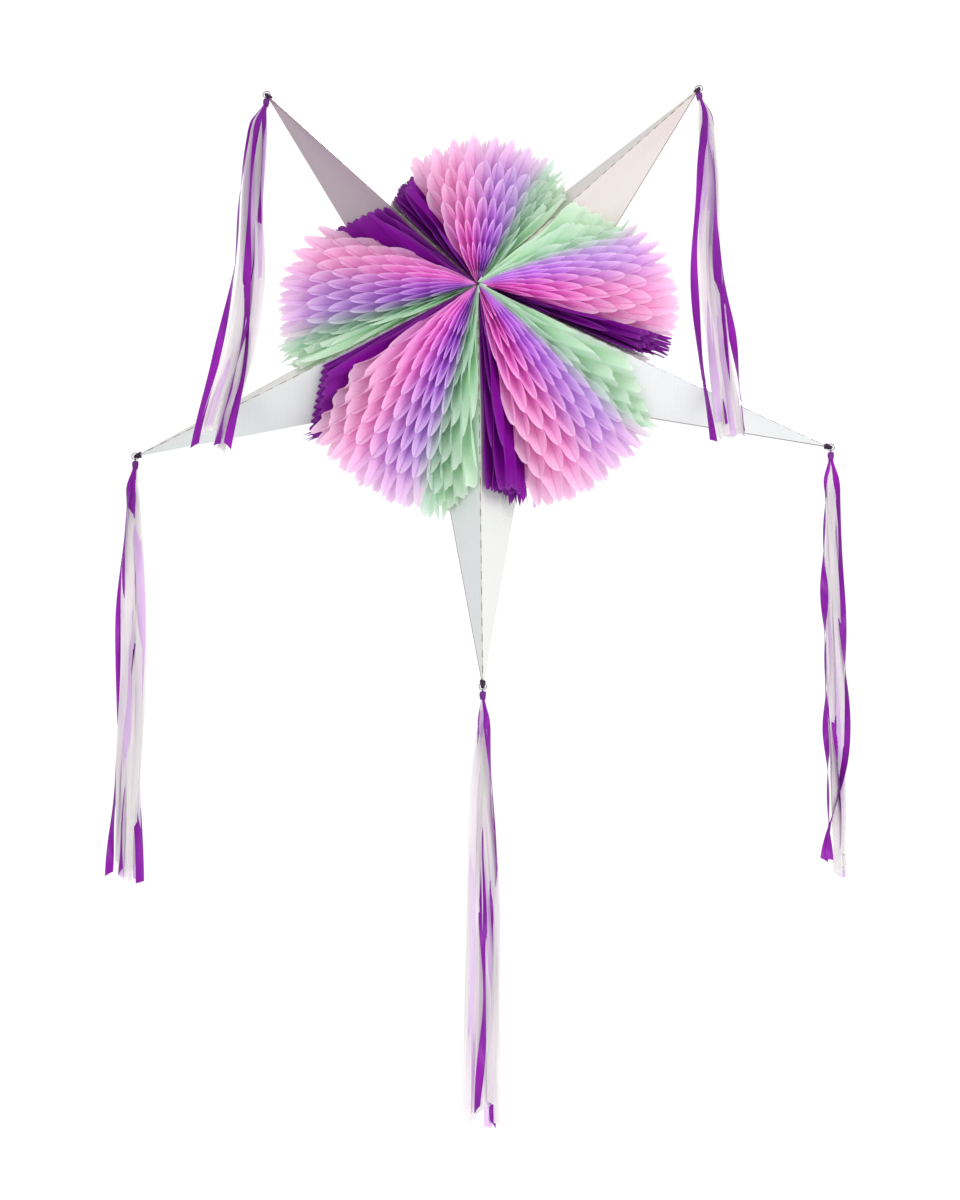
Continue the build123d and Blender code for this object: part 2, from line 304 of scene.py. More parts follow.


# For each colour, the share of light that comes through the tissue and how much its edges pale, which sets
# their painted edge light and lip highlight.
TISSUE_LOOKS = {"purple": (0.32, 0.1), "pink": (0.42, 1.0), "lavender": (0.42, 1.0), "mint": (0.42, 1.0)}
tissues = {colour: tissue_material("tissue_" + colour, *look) for colour, look in TISSUE_LOOKS.items()}
strip_looks = {
    "purple": strip_material("strip_purple", (0.21, 0.0, 0.31, 1.0), (0.33, 0.002, 0.43, 1.0), 0.22),
    "lavender": strip_material("strip_lavender", (0.78, 0.55, 0.87, 1.0), (0.86, 0.74, 0.92, 1.0), 0.5),
    "clear": strip_material("strip_clear", (0.90, 0.88, 0.87, 1.0), (0.93, 0.87, 0.90, 1.0), 0.5),
}
thread_look = thread_material("thread_dark", (0.045, 0.010, 0.055, 1.0))
eyelet_look = thread_material("eyelet_metal", (0.78, 0.66, 0.42, 1.0), metal=True)


def dress(node_name, material):
    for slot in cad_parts[node_name].material_slots:
        slot.material = material


for index, arm in enumerate(ARM_NAMES):
    tip = star_point(TIP_RADIUS, ARM_ANGLES[arm], 0.0)
    clockwise = star_point(VALLEY_RADIUS, valley_angle(index - 1), VALLEY_FORWARD)
    turn = math.radians(ARM_ANGLES[arm])
    across = (-math.sin(turn), 0.0, math.cos(turn))
    lines = {"ridge": (tip, FRONT_HUB), "seam": (tip, clockwise)}
    dress("arm_" + arm, card_material("card_" + arm, PANEL_SHADE_TINTS[arm], across, **lines))
    dress("link_" + arm, thread_look)
dress("filler_door", card_material("card_door", (DOOR_TINT, DOOR_TINT)))
dress("hang_tab", card_material("card_tab", (TAB_TINT, TAB_TINT)))
dress("hang_eyelet", eyelet_look)
dress("centre_binding", thread_look)


def ease(value):
    value = min(max(value, 0.0), 1.0)
    return value * value * (3.0 - 2.0 * value)


# ---------------------------------------------------------------- mesh helper
def make_piece(name, points, faces, uvs=None, material=None, smooth=True):
    mesh = bpy.data.meshes.new(name)
    mesh.from_pydata(points, [], faces)
    if uvs:
        layer = mesh.uv_layers.new(name="UVMap")
        for loop in mesh.loops:
            layer.data[loop.index].uv = uvs[loop.vertex_index]
    for face in mesh.polygons:
        face.use_smooth = smooth
    piece = bpy.data.objects.new(name, mesh)
    bpy.context.scene.collection.objects.link(piece)
    if material:
        mesh.materials.append(material)
    return piece


# ---------------------------------------------------------------- honeycomb fans
# A page lies in a plane through the fan's spine, which runs from the front apex to the valley. In
# that plane, reach runs outward along the glue lines and depth runs back from the apex.
SPINE = Vector((VALLEY_RADIUS, FRONT_APEX - VALLEY_FORWARD))
SPINE_OUT, SPINE_BACK = SPINE.normalized()
# A page's outline, as reach and depth: where a flat page leaves the ridge, where the first tip stands,
# and the step from a tip to the next one behind it. BOW under 1 bows the free edge before it outward.
RIDGE_CORNER = (0.1915, 0.0475)
RIM_TIP = (0.2240, 0.1060)
END_TIP_STEP = (0.0067, 0.01215)
BOW = 0.85
# How far the barbs at two of the tips stand out and half their width, and the scallops of a flat page.
BARB, BARB_DEPTH = 0.0140, 0.0042
SCALLOP, SCALLOP_PITCH = 0.0045, 0.0085
# How far the first mint pages stand over the ridge, at the apex.
CREST = 0.0025
# The glue rows are CELL_PITCH apart at the rim and widen inward to INNER_PITCH, over PITCH_FADE, which
# adds PITCH_GAIN of a cell. The petals between them are rounder the lower PETAL_ROUNDING is.
CELL_PITCH, INNER_PITCH = 0.0243, 0.0370
PITCH_GAIN, PITCH_FADE = 0.31, 0.022
PETAL_ROUNDING = 0.52
PAGE_ROWS, REACH_STEPS = 180, 6
# Degrees from the card up to the first and the last page.
END_PAGE_LIFT = 0.8
# The random phases' range, in radians.
ABOUT_A_TURN = 6.28
PAGE_COUNTS = {"mint": 5, "lavender": 7, "pink": 8, "purple": 4}
# The share of a fan, from its mint end, at which each colour's pages end.
SHARE_ENDS = {"mint": 0.19, "lavender": 0.50, "pink": 0.93, "purple": 1.0}
# The dye at each share of the fan from its mint end, first near the apex, then out towards the rim: the
# colour near the apex is painted richer, as painted light bounced between the pages deep in the cells, and
# the rim colour paler, as painted light through the single pages.
DYES_AND_DEPTH_LIGHT = [
    (0.00, (0.50, 0.84, 0.52), (0.62, 0.88, 0.62)),
    (0.12, (0.48, 0.80, 0.56), (0.62, 0.86, 0.68)),
    (0.27, (0.72, 0.22, 0.96), (0.74, 0.50, 0.91)),
    (0.40, (0.78, 0.18, 0.96), (0.78, 0.46, 0.89)),
    (0.68, (1.00, 0.17, 0.86), (0.97, 0.46, 0.79)),
    (0.92, (1.00, 0.22, 0.86), (0.98, 0.52, 0.79)),
    (0.93, (0.19, 0.0, 0.27), (0.24, 0.0, 0.33)),
    (1.00, (0.19, 0.0, 0.27), (0.24, 0.0, 0.33)),
]
# Over this reach from the apex, the painted richer colour turns to the painted paler one.
DEPTH_LIGHT_START, DEPTH_LIGHT_SPREAD = 0.02, 0.16
# The lavender and pink pages turn this dusty pink at the rim.
DUSTY, DUSTY_AMOUNT = (0.86, 0.58, 0.76), 0.6
DUSTY_FROM, DUSTY_TO = 0.16, 0.93
DUSTY_START, DUSTY_SPREAD = 0.17, 0.05
# Shares of the fan at which its pages change: the mint ones lie flatter on the card up to the first,
# their tips stand two rows and then one row behind the rest, the first of them reach over the ridge,
# and the pink ones stand fuller from the last, over the spread that follows it.
MINT_FLAT = 0.13
TWO_ROWS_UNTIL, ONE_ROW_UNTIL = 0.08, 0.17
CREST_UNTIL = 0.1
FULLER_FROM, FULLER_SPREAD = 0.66, 0.26
FAR_HALF = 0.5
LAST_DYE = 0.92
# The swing of the last page and of the other purple ones, as a share of the way to the next page.
END_SWING, PURPLE_SWING = 0.35, 0.95
# The sway that bends each page along its reach, in radians, and its waves for each metre, in radians.
PAGE_SWAY, SWAY_RATE = 0.014, 40.0
# How much the pages differ at random in reach, in tone, and in place, as a share of a page's width.
STRETCH_SPREAD, TONE_SPREAD, WANDER_SPREAD = 0.012, 0.04, 0.22
# The fans are pulled open by hand, so each is a little different: the share of it behind its purple
# pages, how far out its mint and purple end pages reach along the ridge, how many glue rows behind
# the rim its purple tips stand, how far out it reaches, how full its pink pages stand next to the
# purple, and how far apart its glue rows are.
PURPLE_SHARES = {"lower_right": 0.12, "right": 0.13, "top": 0.12, "left": 0.13, "lower_left": 0.075}
RIDGE_REACH = {
    "lower_right": (0.95, 1.10),
    "right": (0.93, 0.95),
    "top": (0.93, 0.88),
    "left": (1.14, 0.88),
    "lower_left": (1.13, 0.97),
}
PURPLE_TIPS = {"lower_right": -1, "right": 0, "top": 4, "left": 4, "lower_left": 2}
FAN_REACH = {"lower_right": 0.96, "right": 0.925, "top": 0.965, "left": 0.95, "lower_left": 0.96}
PINK_FULLNESS = {"lower_right": 0.25, "right": 0.30, "top": 0.12, "left": 0.15, "lower_left": 0.60}
ROW_SPACING = {"lower_right": 0.78, "right": 0.85, "top": 1.0, "left": 0.85, "lower_left": 0.72}
dice = random.Random(7)


def outline(depth, fullness, crest, tip_steps, ridge_reach, spacing, fan_reach):
    """How far out a page reaches at this depth. A page at fullness 1 lies on the card out to the ridge,
    and a page at 0 runs straight to its barbed tips, because the fan's middle is pulled open."""
    tip_reach = RIM_TIP[0] * fan_reach + END_TIP_STEP[0] * spacing * tip_steps
    tip_depth = RIM_TIP[1] + END_TIP_STEP[1] * spacing * tip_steps
    second = tip_depth + END_TIP_STEP[1] * spacing
    barb = max(1.0 - abs(depth - tip_depth) / BARB_DEPTH, 1.0 - abs(depth - second) / BARB_DEPTH, 0.0)
    if depth >= tip_depth:
        part = max((depth - second) / (SPINE[1] - second), 0.0)
        return tip_reach + (SPINE[0] - tip_reach) * min(part, 1.0) + BARB * barb
    free = tip_reach * (depth / tip_depth) ** BOW + BARB * barb
    slope = RIDGE_CORNER[0] / RIDGE_CORNER[1]
    corner_reach, corner_depth = RIDGE_CORNER[0] * ridge_reach, RIDGE_CORNER[1] * ridge_reach
    part = (depth - corner_depth) / (tip_depth - corner_depth)
    rim = corner_reach + (tip_reach - corner_reach) * max(part, 0.0)
    rim += SCALLOP * abs(math.sin(math.pi * depth / SCALLOP_PITCH))
    full = min((depth + crest) * slope, rim)
    return free + (max(full, free) - free) * fullness


def fan_frame(index):
    beta = math.radians(valley_angle(index))
    lateral = Vector((-math.sin(beta), 0.0, math.cos(beta)))
    outward = Vector((math.cos(beta), 0.0, math.sin(beta)))
    along = (star_point(VALLEY_RADIUS, valley_angle(index), VALLEY_FORWARD) - FRONT_HUB).normalized()
    middle = lateral.cross(along).normalized()
    if middle.dot(outward) < 0.0:
        middle = -middle
    ends = []
    for arm in (ARM_NAMES[(index + 1) % 5], ARM_NAMES[index % 5]):
        reach = star_point(TIP_RADIUS, ARM_ANGLES[arm], 0.0) - FRONT_HUB
        ends.append(math.atan2(reach.dot(lateral), reach.dot(middle)))
    return along, middle, lateral, ends[0], ends[1]


def dye_and_depth_light(share, reach):
    """Colour at this share of the fan, from the mint end, and this reach from the apex, with painted light:
    richer near the apex, paler out towards the rim.
    """
    near, far = DYES_AND_DEPTH_LIGHT[0][1:]
    for (low, low_near, low_far), (high, high_near, high_far) in zip(DYES_AND_DEPTH_LIGHT, DYES_AND_DEPTH_LIGHT[1:]):
        if low <= share <= high:
            part = ease((share - low) / (high - low))
            near = [first + (second - first) * part for first, second in zip(low_near, high_near)]
            far = [first + (second - first) * part for first, second in zip(low_far, high_far)]
    light_fade = ease((reach - DEPTH_LIGHT_START) / DEPTH_LIGHT_SPREAD)
    colour = [first + (second - first) * light_fade for first, second in zip(near, far)]
    if DUSTY_FROM < share < DUSTY_TO:
        dust = DUSTY_AMOUNT * ease((reach - DUSTY_START) / DUSTY_SPREAD)
        colour = [first + (second - first) * dust for first, second in zip(colour, DUSTY)]
    return colour


def glue_turn(depth, spacing):
    """The page's swing at this depth, as an angle: the glue rows stand closer together near the rim."""
    inward = (RIM_TIP[1] - depth) / spacing
    if inward < 0.0:
        return 2.0 * math.pi * inward / CELL_PITCH
    return 2.0 * math.pi * (inward / INNER_PITCH + PITCH_GAIN * (1.0 - math.exp(-inward / PITCH_FADE)))


def petal_wave(phase):
    """From 1 to -1 and back: quick after each glue row and slow before the next, for round petals."""
    half, part = divmod(phase / math.pi, 1.0)
    wave = 1.0 - 2.0 * math.sin(math.pi / 2.0 * part) ** PETAL_ROUNDING
    return -wave if half % 2.0 else wave


def add_page(points, faces, uvs, dyes_and_light, axes, edges, share, width, side, drift, fan, end):
    """One sheet, which swings to touch the page before it and the page after it in turn."""
    along, middle, lateral = axes
    start, stop = edges
    flat = share > SHARE_ENDS["pink"]
    spacing = ROW_SPACING[fan]
    if flat:
        fullness, tip_steps = 1.0, PURPLE_TIPS[fan] / spacing
        swing = END_SWING if end else PURPLE_SWING
    else:
        fullness = ease((MINT_FLAT - share) / MINT_FLAT)
        fullness += PINK_FULLNESS[fan] * ease((share - FULLER_FROM) / FULLER_SPREAD)
        tip_steps = 2 if share < TWO_ROWS_UNTIL else 1 if share < ONE_ROW_UNTIL else 0
        swing = 1.0
    ridge_reach = RIDGE_REACH[fan][1 if flat or share > FAR_HALF else 0]
    crest = CREST if share < CREST_UNTIL else 0.0
    stretch = 1.0 + dice.uniform(-STRETCH_SPREAD, STRETCH_SPREAD)
    tone = 1.0 + dice.uniform(-TONE_SPREAD, TONE_SPREAD)
    base = len(points)
    for row in range(PAGE_ROWS + 1):
        depth = SPINE[1] * row / PAGE_ROWS - crest * (1.0 - row / PAGE_ROWS)
        phase = glue_turn(depth, spacing)
        wave = petal_wave(phase) * side
        angle = (start + stop) / 2.0 + (stop - start) / 2.0 * wave * swing
        low = max(depth, 0.0) * SPINE[0] / SPINE[1]
        high = outline(max(depth, 0.0), fullness, crest, tip_steps, ridge_reach, spacing, FAN_REACH[fan])
        high = max(high * stretch, low)
        here = share if flat else min(share + width / 2.0 * wave, LAST_DYE)
        for step in range(REACH_STEPS + 1):
            reach = low + (high - low) * step / REACH_STEPS
            sway = PAGE_SWAY * math.sin(reach * SWAY_RATE + drift) * reach / RIM_TIP[0] * (1.0 - fullness)
            turn = middle * math.cos(angle + sway) + lateral * math.sin(angle + sway)
            offset = reach * SPINE_BACK - depth * SPINE_OUT
            points.append(FRONT_HUB + along * (reach * SPINE_OUT + depth * SPINE_BACK) + turn * offset)
            uvs.append((depth, high - reach))
            dyes_and_light.append([min(channel * tone, 1.0) for channel in dye_and_depth_light(max(here, 0.0), reach)])
    for row in range(PAGE_ROWS):
        for step in range(REACH_STEPS):
            corner = base + row * (REACH_STEPS + 1) + step
            faces.append((corner, corner + REACH_STEPS + 1, corner + REACH_STEPS + 2, corner + 1))


def fan_place(share, purple_share):
    """Where a page stands in a fan whose purple pages take up purple_share of it."""
    pink_end = SHARE_ENDS["pink"]
    if share <= pink_end:
        return share * (1.0 - purple_share) / pink_end
    return 1.0 - purple_share * (1.0 - share) / (1.0 - pink_end)


def build_fan(index):
    fan = FAN_NAMES[ARM_NAMES[index]]
    along, middle, lateral, first, last = fan_frame(index)
    lift = math.radians(END_PAGE_LIFT)
    first, last = first - lift, last + lift
    if fan == "top":
        first, last = last, first
    share, page = 0.0, 0
    edge = first
    drift = dice.uniform(0.0, ABOUT_A_TURN)
    for colour, pages in PAGE_COUNTS.items():
        points, faces, uvs, dyes_and_light = [], [], [], []
        width = (SHARE_ENDS[colour] - share) / pages
        for number in range(pages):
            wander = 0.0
            if colour != "purple" and number < pages - 1:
                wander = dice.uniform(-WANDER_SPREAD, WANDER_SPREAD)
            place = share + width * (number + 1 + wander)
            far_edge = first + (last - first) * fan_place(place, PURPLE_SHARES[fan])
            middle_share = share + width * (number + 0.5)
            side = -1.0 if page % 2 else 1.0
            axes, edges = (along, middle, lateral), (edge, far_edge)
            end = page in (0, sum(PAGE_COUNTS.values()) - 1)
            add_page(points, faces, uvs, dyes_and_light, axes, edges, middle_share, width, side, drift, fan, end)
            edge = far_edge
            page += 1
        share = SHARE_ENDS[colour]
        piece = make_piece("pages_" + fan + "_" + colour, points, faces, uvs, tissues[colour])
        shade = piece.data.attributes.new("page_dye_and_light", "FLOAT_COLOR", "POINT")
        for corner, tint_and_shade in enumerate(dyes_and_light):
            shade.data[corner].color = (*tint_and_shade, 1.0)
        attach(piece, "star")
        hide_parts("pad_" + fan + "_" + colour)


for fan_index in range(5):
    build_fan(fan_index)

# ---------------------------------------------------------------- tassels
HOLE_INSET, HOLE_FORWARD = 0.006, 0.0008
LOOP_RADIUS, LINK_RADIUS, LINK_WIRE, LINK_GAP = 0.004, 0.0016, 0.0004, 0.0002
LOOP_WIRE = 0.0004
KNOT_DROP, KNOT_RADIUS = 0.005, 0.003
LOWER_LENGTH, UPPER_LENGTH, STRIP_WIDTH = 0.495, 0.468, 0.009
STRIP_COUNTS = {"purple": 3, "lavender": 2, "clear": 7}
FORWARD_TILT = {"upper_right": 11.0, "upper_left": 11.0}
OUTWARD_TILT = {"upper_right": 4.0, "upper_left": -4.0}
# How each bundle falls, in mm to the right of its own axis at the head, the quarters and the foot:
# first its two edges, then each purple strip and how far it lies in front of the rest.
EDGES = {
    "bottom": ((-2, -16, -22, -23, -27), (2, 12, 20, 21, 22)),
    "right": ((-2, -9, -9, -7, -3), (2, 9, 12, 12, 11)),
    "upper_right": ((-4, -10, -19, -21, -20), (12, 15, 8, 10, 17)),
    "upper_left": ((-14, -18, -14, -20, -38), (4, 10, 21, 19, -2)),
    "left": ((-2, -13, -15, -16, -18), (2, 13, 15, 14, 13)),
}
PURPLE_FALLS = {
    "bottom": [((3, 12, 14, 10, 9), (3, 3, -4, -4, -4)), ((-2, -4, 0, 2, -6), (-4, -4, 3, 3, 3)),
               ((1, 6, 12, 11, 6), (-4, -4, 2, -4, -4))],
    "right": [((-4, -9, -9, -8, -8), (3, 3, -2, 1, 3)), ((4, 9, 12, 10, -12), (3, 2, 3, 3, 4)),
              ((1, 3, 3, 2, 4), (-3, -4, -3, 3, -3))],
    "upper_right": [((6, -8, -24, -25, -20), (3, 3, 3, 3, 3)), ((9, 9, 1, 3, -4), (-2, 2, 2, 1, 3)),
                    ((2, 4, 4, 12, 15), (-4, -4, -4, 0, 3))],
    "upper_left": [((-1, 4, 7, 0, -12), (3, 3, -3, 3, 3)), ((-6, -6, -1, 8, -2), (3, 3, 2, 2, 3)),
                   ((-12, -17, -16, -23, -38), (-4, 0, 3, 3, 3))],
    "left": [((-6, -12, -15, -9, -9), (3, 3, 1, -4, 3)), ((-1, -3, -1, 4, 11), (3, -4, -4, -4, 3)),
             ((-2, 4, -4, -14, -23), (2, -4, -4, -4, -2))],
}
PURPLE_TWISTS = {"bottom": 1.1, "right": 1.9, "upper_right": 1.1, "upper_left": 1.1, "left": 1.1}
PALE_TWIST = 0.5
STRIP_STEPS = 96
# The pale strips fill the bundle at random between its edges, moved in by EDGE_INSET mm, and at a
# random depth in mm. LENGTH_SPREAD is how much shorter than its bundle a strip may be.
EDGE_INSET, PALE_WANDER, PALE_DEPTHS = 4.0, 0.3, (-2.5, 1.5)
LENGTH_SPREAD = 0.032
# A strip's own sway and ripple, in metres and in radians over its length, and its turns over it.
SWAY_RANGE, RIPPLE_RANGE, TURNS_RANGE = (0.0004, 0.0016), (0.0008, 0.0022), (0.9, 1.7)
SWAY_WAVES, RIPPLE_WAVES, RIPPLE_PHASE = 11.0, 8.0, 1.7
# The slant of its cut end in metres, and the shares of its length that it starts at and builds over.
END_SLANT, SLANT_FROM, SLANT_OVER = 0.004, 0.9, 0.1
# The winding gathers the strips at the head: what is left there of a strip's place across the
# bundle, its place in front of it and its width, and the share of its length that it comes free in.
HEAD_ACROSS, ACROSS_FREE = 0.25, 0.07
HEAD_FRONT, LOOSE_FRONT, LOOSE_FREE = 0.35, 0.65, 0.10
HEAD_WIDTH, LOOSE_WIDTH, WIDTH_FREE = 0.34, 0.66, 0.09
# The winding that gathers the strips, from beside the link to below the knot, about the knot's centre.
WIND_TURNS, WIND_STEPS, WIND_THICKNESS = 6.0, 96, 0.0009
WIND_TOP, WIND_FOOT = -0.0040, 0.0042
# Its radius, in shares of the knot's: at the top, what it loses to the foot, and its swell between.
WIND_RADIUS, WIND_TAPER, WIND_SWELL = 0.92, 0.30, 0.12
CORE_TOP, CORE_THICKNESS, CORE_STEPS = -0.0018, 0.0019, 6
# A tube's sides, how far its section swells, how fast the swelling turns, and its texture's steps.
TUBE_SIDES, TUBE_SWELL, TUBE_TWIST, TUBE_UV = 8, 0.12, 0.9, (0.001, 0.0005)
LINK_STEPS, LOOP_STEPS = 20, 36
# The thread's turns round the tip: where they start and end behind it, and the arm's slopes there.
WHIP_START, WHIP_END, WHIP_TURNS, WHIP_STEPS = 0.0005, 0.0085, 7.0, 168
WHIP_THICKNESS, WHIP_CLEAR = 0.0007, 0.0012
FRONT_SLOPE, BACK_SLOPE, SIDE_SLOPE = 0.44, 0.16, 0.18
STRIP_CUP, HEAD_GAP = 0.0008, 0.0025
FOLDED_LEAN = 0.80


def tassel_frame(arm):
    tilt = math.radians(FORWARD_TILT.get(arm, 0.0))
    turn = math.radians(OUTWARD_TILT.get(arm, 0.0))
    face = Vector((0.0, -math.cos(tilt), math.sin(tilt)))
    link_down = Vector((0.0, -math.sin(tilt), -math.cos(tilt)))
    down = link_down * math.cos(turn) + Vector((1.0, 0.0, 0.0)) * math.sin(turn)
    side = Vector((1.0, 0.0, 0.0)) * math.cos(turn) - link_down * math.sin(turn)
    centre = star_point(TIP_RADIUS - HOLE_INSET + LOOP_RADIUS, ARM_ANGLES[arm], HOLE_FORWARD)
    hook = centre - Vector((0.0, 0.0, LOOP_RADIUS))
    pivot = hook + link_down * (LINK_RADIUS - 2.0 * LINK_WIRE - LINK_GAP + LINK_RADIUS)
    return face, down, side, pivot


def fall(stations, part):
    """A smooth line through the five stations, in metres."""
    place = min(part * 4.0, 3.999)
    here = int(place)
    part = place - here
    before, low = stations[max(here - 1, 0)], stations[here]
    high, after = stations[here + 1], stations[min(here + 2, 4)]
    bend = 2.0 * low + (high - before) * part
    bend += (2.0 * before - 5.0 * low + 4.0 * high - after) * part ** 2
    bend += (3.0 * low - before - 3.0 * high + after) * part ** 3
    return bend / 2000.0


def add_strip(points, faces, uvs, frame_axes, route, fronts, length, twist):
    """One ribbon: it follows its side and front stations and turns about its own length as it falls."""
    head, down, side, face = frame_axes
    phase = dice.uniform(0.0, ABOUT_A_TURN)
    sway, ripple = dice.uniform(*SWAY_RANGE), dice.uniform(*RIPPLE_RANGE)
    turns, lean = dice.uniform(*TURNS_RANGE), dice.uniform(-1.0, 1.0) * FOLDED_LEAN * twist
    slant = dice.uniform(-END_SLANT, END_SLANT)
    base = len(points)
    for step in range(STRIP_STEPS + 1):
        part = step / STRIP_STEPS
        loose = ease(part / LOOSE_FREE)
        across = fall(route, part) * ease(HEAD_ACROSS + part / ACROSS_FREE)
        across += sway * math.sin(SWAY_WAVES * part + phase) * loose
        front = fall(fronts, part) * (HEAD_FRONT + LOOSE_FRONT * loose)
        front += ripple * math.sin(RIPPLE_WAVES * part + RIPPLE_PHASE * phase) * loose
        turn = (twist * math.sin(ABOUT_A_TURN * turns * part + phase) + lean) * loose
        half = STRIP_WIDTH / 2.0 * (HEAD_WIDTH + LOOSE_WIDTH * ease(part / WIDTH_FREE))
        drop = HEAD_GAP + length * part
        width = side * math.cos(turn) + face * math.sin(turn)
        bulge = (side * -math.sin(turn) + face * math.cos(turn)) * STRIP_CUP
        for edge in (-1.0, 0.0, 1.0):
            foot = slant * edge * ease((part - SLANT_FROM) / SLANT_OVER)
            centre = head + down * (drop + foot) + side * across + face * front
            points.append(centre + width * half * edge + bulge * (1.0 - abs(edge)))
            uvs.append((half * edge, drop))
    for step in range(STRIP_STEPS):
        for half_strip in range(2):
            corner = base + step * 3 + half_strip
            faces.append((corner, corner + 3, corner + 4, corner + 1))


def build_tassel(arm):
    face, down, side, pivot = tassel_frame(arm)
    head = pivot + down * KNOT_DROP
    left, right = EDGES[arm]
    full = UPPER_LENGTH if arm.startswith("upper") else LOWER_LENGTH
    for colour, count in STRIP_COUNTS.items():
        points, faces, uvs = [], [], []
        for strip in range(count):
            if colour == "purple":
                route, fronts = PURPLE_FALLS[arm][strip]
                twist = PURPLE_TWISTS[arm]
            else:
                share = (strip + 0.5 + dice.uniform(-PALE_WANDER, PALE_WANDER)) / count
                route = [
                    (low + EDGE_INSET) * (1.0 - share) + (high - EDGE_INSET) * share
                    for low, high in zip(left, right)
                ]
                fronts = [dice.uniform(*PALE_DEPTHS) for station in range(5)]
                twist = PALE_TWIST
            length = full - dice.uniform(0.0, LENGTH_SPREAD)
            add_strip(points, faces, uvs, (head, down, side, face), route, fronts, length, twist)
        piece = make_piece("streamers_" + colour + "_" + arm, points, faces, uvs, strip_looks[colour])
        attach(piece, "tassel_" + arm)
        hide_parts("strips_" + colour + "_" + arm)
    build_knot(arm, face, down, side, pivot)


def add_tube(points, faces, uvs, line, thickness, closed=False):
    """A round cord along a line of points, with a slight twist in its section."""
    base, count, sides = len(points), len(line), TUBE_SIDES
    for place in range(count):
        ahead = line[(place + 1) % count] if closed else line[min(place + 1, count - 1)]
        behind = line[(place - 1) % count] if closed else line[max(place - 1, 0)]
        tangent = (ahead - behind).normalized()
        guide = Vector((0.0, 1.0, 0.0)) if abs(tangent.y) < 0.9 else Vector((1.0, 0.0, 0.0))
        first = tangent.cross(guide).normalized()
        second = tangent.cross(first)
        for corner in range(sides):
            turn = 2.0 * math.pi * corner / sides
            swell = thickness * (1.0 + TUBE_SWELL * math.sin(2.0 * turn + place * TUBE_TWIST))
            points.append(line[place] + first * math.cos(turn) * swell + second * math.sin(turn) * swell)
            uvs.append((place * TUBE_UV[0], corner * TUBE_UV[1]))
    for place in range(count if closed else count - 1):
        for corner in range(sides):
            here, there = base + place * sides, base + (place + 1) % count * sides
            after = (corner + 1) % sides
            faces.append((here + corner, here + after, there + after, there + corner))
    if not closed:
        faces.append(tuple(base + corner for corner in range(sides))[::-1])
        faces.append(tuple(base + (count - 1) * sides + corner for corner in range(sides)))


def ring_line(centre, across, along, radius, count):
    turns = [2.0 * math.pi * place / count for place in range(count)]
    return [centre + across * math.cos(turn) * radius + along * math.sin(turn) * radius for turn in turns]


def build_knot(arm, face, down, side, pivot):
    """The twisted heads of the strips: an eye in the link, then a winding that gathers the bundle."""
    points, faces, uvs = [], [], []
    eye = pivot + down * (LINK_RADIUS - 2.0 * LINK_WIRE - LINK_GAP)
    centre = pivot + down * KNOT_DROP
    add_tube(points, faces, uvs, ring_line(eye, side, down, LINK_RADIUS, LINK_STEPS), LINK_WIRE, True)
    line = []
    for place in range(WIND_STEPS + 1):
        part = place / WIND_STEPS
        turn = 2.0 * math.pi * WIND_TURNS * part
        radius = KNOT_RADIUS * (WIND_RADIUS - WIND_TAPER * part + WIND_SWELL * math.sin(math.pi * part))
        drop = WIND_TOP + (WIND_FOOT - WIND_TOP) * part
        line.append(centre + side * math.cos(turn) * radius + face * math.sin(turn) * radius + down * drop)
    add_tube(points, faces, uvs, line, WIND_THICKNESS)
    length = WIND_FOOT - CORE_TOP
    core = [centre + down * (CORE_TOP + length * place / CORE_STEPS) for place in range(CORE_STEPS + 1)]
    add_tube(points, faces, uvs, core, CORE_THICKNESS)
    piece = make_piece("wound_knot_" + arm, points, faces, uvs, knot_look)
    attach(piece, "tassel_" + arm)
    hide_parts("knot_" + arm)


def build_tip_thread(arm):
    """The loop that holds the link, and the thread's turns round the arm's tip."""
    points, faces, uvs = [], [], []
    angle = ARM_ANGLES[arm]
    turn = math.radians(angle)
    outward = Vector((math.cos(turn), 0.0, math.sin(turn)))
    across = Vector((-math.sin(turn), 0.0, math.cos(turn)))
    centre = star_point(TIP_RADIUS - HOLE_INSET + LOOP_RADIUS, angle, HOLE_FORWARD)
    loop = ring_line(centre, across, outward, LOOP_RADIUS, LOOP_STEPS)
    add_tube(points, faces, uvs, loop, LOOP_WIRE, True)
    line = []
    for place in range(WHIP_STEPS + 1):
        part = place / WHIP_STEPS
        inset = WHIP_START + (WHIP_END - WHIP_START) * part
        lap = 2.0 * math.pi * WHIP_TURNS * part
        depth = WHIP_CLEAR + inset * (FRONT_SLOPE if math.cos(lap) > 0.0 else BACK_SLOPE)
        width = WHIP_CLEAR + inset * SIDE_SLOPE
        forward = math.cos(lap) * depth
        line.append(star_point(TIP_RADIUS - inset, angle, forward) + across * math.sin(lap) * width)
    add_tube(points, faces, uvs, line, WHIP_THICKNESS)
    piece = make_piece("tip_thread_" + arm, points, faces, uvs, thread_look)
    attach(piece, "star")
    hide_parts("loop_" + arm)


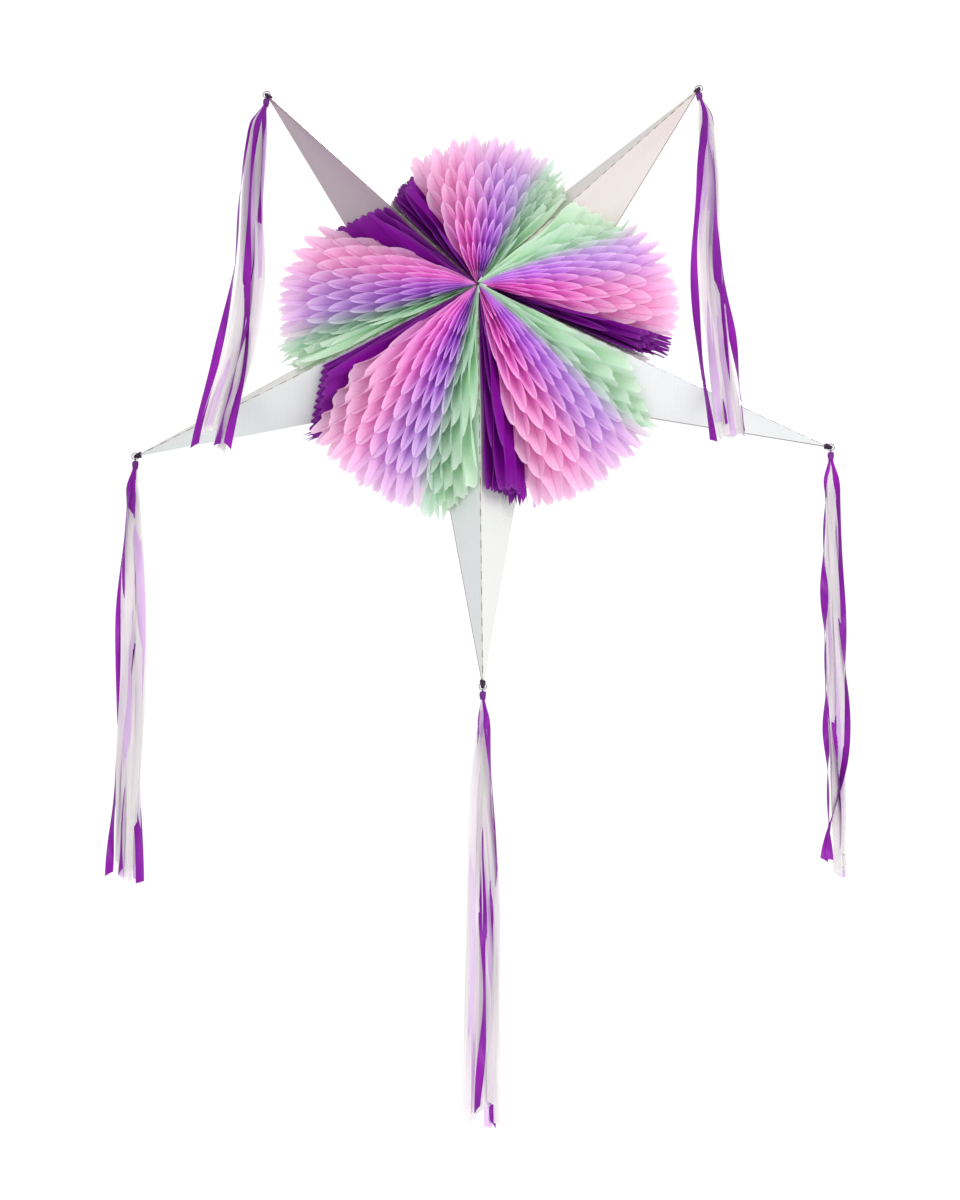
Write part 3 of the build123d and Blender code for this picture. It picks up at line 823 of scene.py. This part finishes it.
# The strips' draws start this many on from the pages', which picks how the bundles fall.
SKIPPED_DRAWS = 5
for skipped_draw in range(SKIPPED_DRAWS):
    dice.random()
knot_look = strip_material("knot_purple", (0.15, 0.010, 0.22, 1.0), (0.26, 0.05, 0.34, 1.0), 0.1)
for arm_name in ARM_NAMES:
    build_tassel(arm_name)
    build_tip_thread(arm_name)

# ---------------------------------------------------------------- stage and lights
FLOOR_HALF, FLOOR_LEVEL = 60, -7
FLOOR_WHITE = (0.93, 0.93, 0.93, 1.0)
SKY_STRENGTH, SEEN_SKY_GAIN = 0.90, 0.16
floor_mesh = bpy.data.meshes.new("floor")
floor_corners = [(-1, -1), (1, -1), (1, 1), (-1, 1)]
floor_points = [(x * FLOOR_HALF, y * FLOOR_HALF, FLOOR_LEVEL) for x, y in floor_corners]
floor_mesh.from_pydata(floor_points, [], [(0, 1, 2, 3)])
floor = bpy.data.objects.new("floor", floor_mesh)
bpy.context.scene.collection.objects.link(floor)
floor_look, _, floor_shader = new_material("floor_pale")
floor_shader.inputs["Base Color"].default_value = FLOOR_WHITE
floor_shader.inputs["Roughness"].default_value = 0.9
floor_mesh.materials.append(floor_look)

world = bpy.data.worlds.new("studio")
bpy.context.scene.world = world
world.use_nodes = True
sky = world.node_tree.nodes["Background"]
sky.inputs["Color"].default_value = (1.0, 1.0, 1.0, 1.0)
ray = node(world.node_tree, "ShaderNodeLightPath").outputs["Is Camera Ray"]
strength = math_node(world.node_tree, "MULTIPLY_ADD", ray, SEEN_SKY_GAIN, SKY_STRENGTH)
world.node_tree.links.new(strength, sky.inputs["Strength"])


def area_light(name, place, size, power):
    """A square lamp of this size in metres and power in watts, aimed at the star's centre."""
    light = bpy.data.lights.new(name, "AREA")
    light.size = size
    light.energy = power
    lamp = bpy.data.objects.new(name, light)
    bpy.context.scene.collection.objects.link(lamp)
    lamp.location = place
    lamp.rotation_euler = (CENTRE - Vector(place)).to_track_quat("-Z", "Y").to_euler()


area_light("key", (2.2, -2.6, 0.2), 1.4, 44.0)
area_light("fill", (-2.2, -2.4, -0.8), 1.6, 20.0)
area_light("rim", (0.6, 2.2, 1.6), 1.2, 20.0)
area_light("low", (1.6, -1.8, -2.4), 1.6, 22.0)

bpy.context.scene.view_settings.view_transform = "Standard"
bpy.context.scene.view_settings.look = "None"
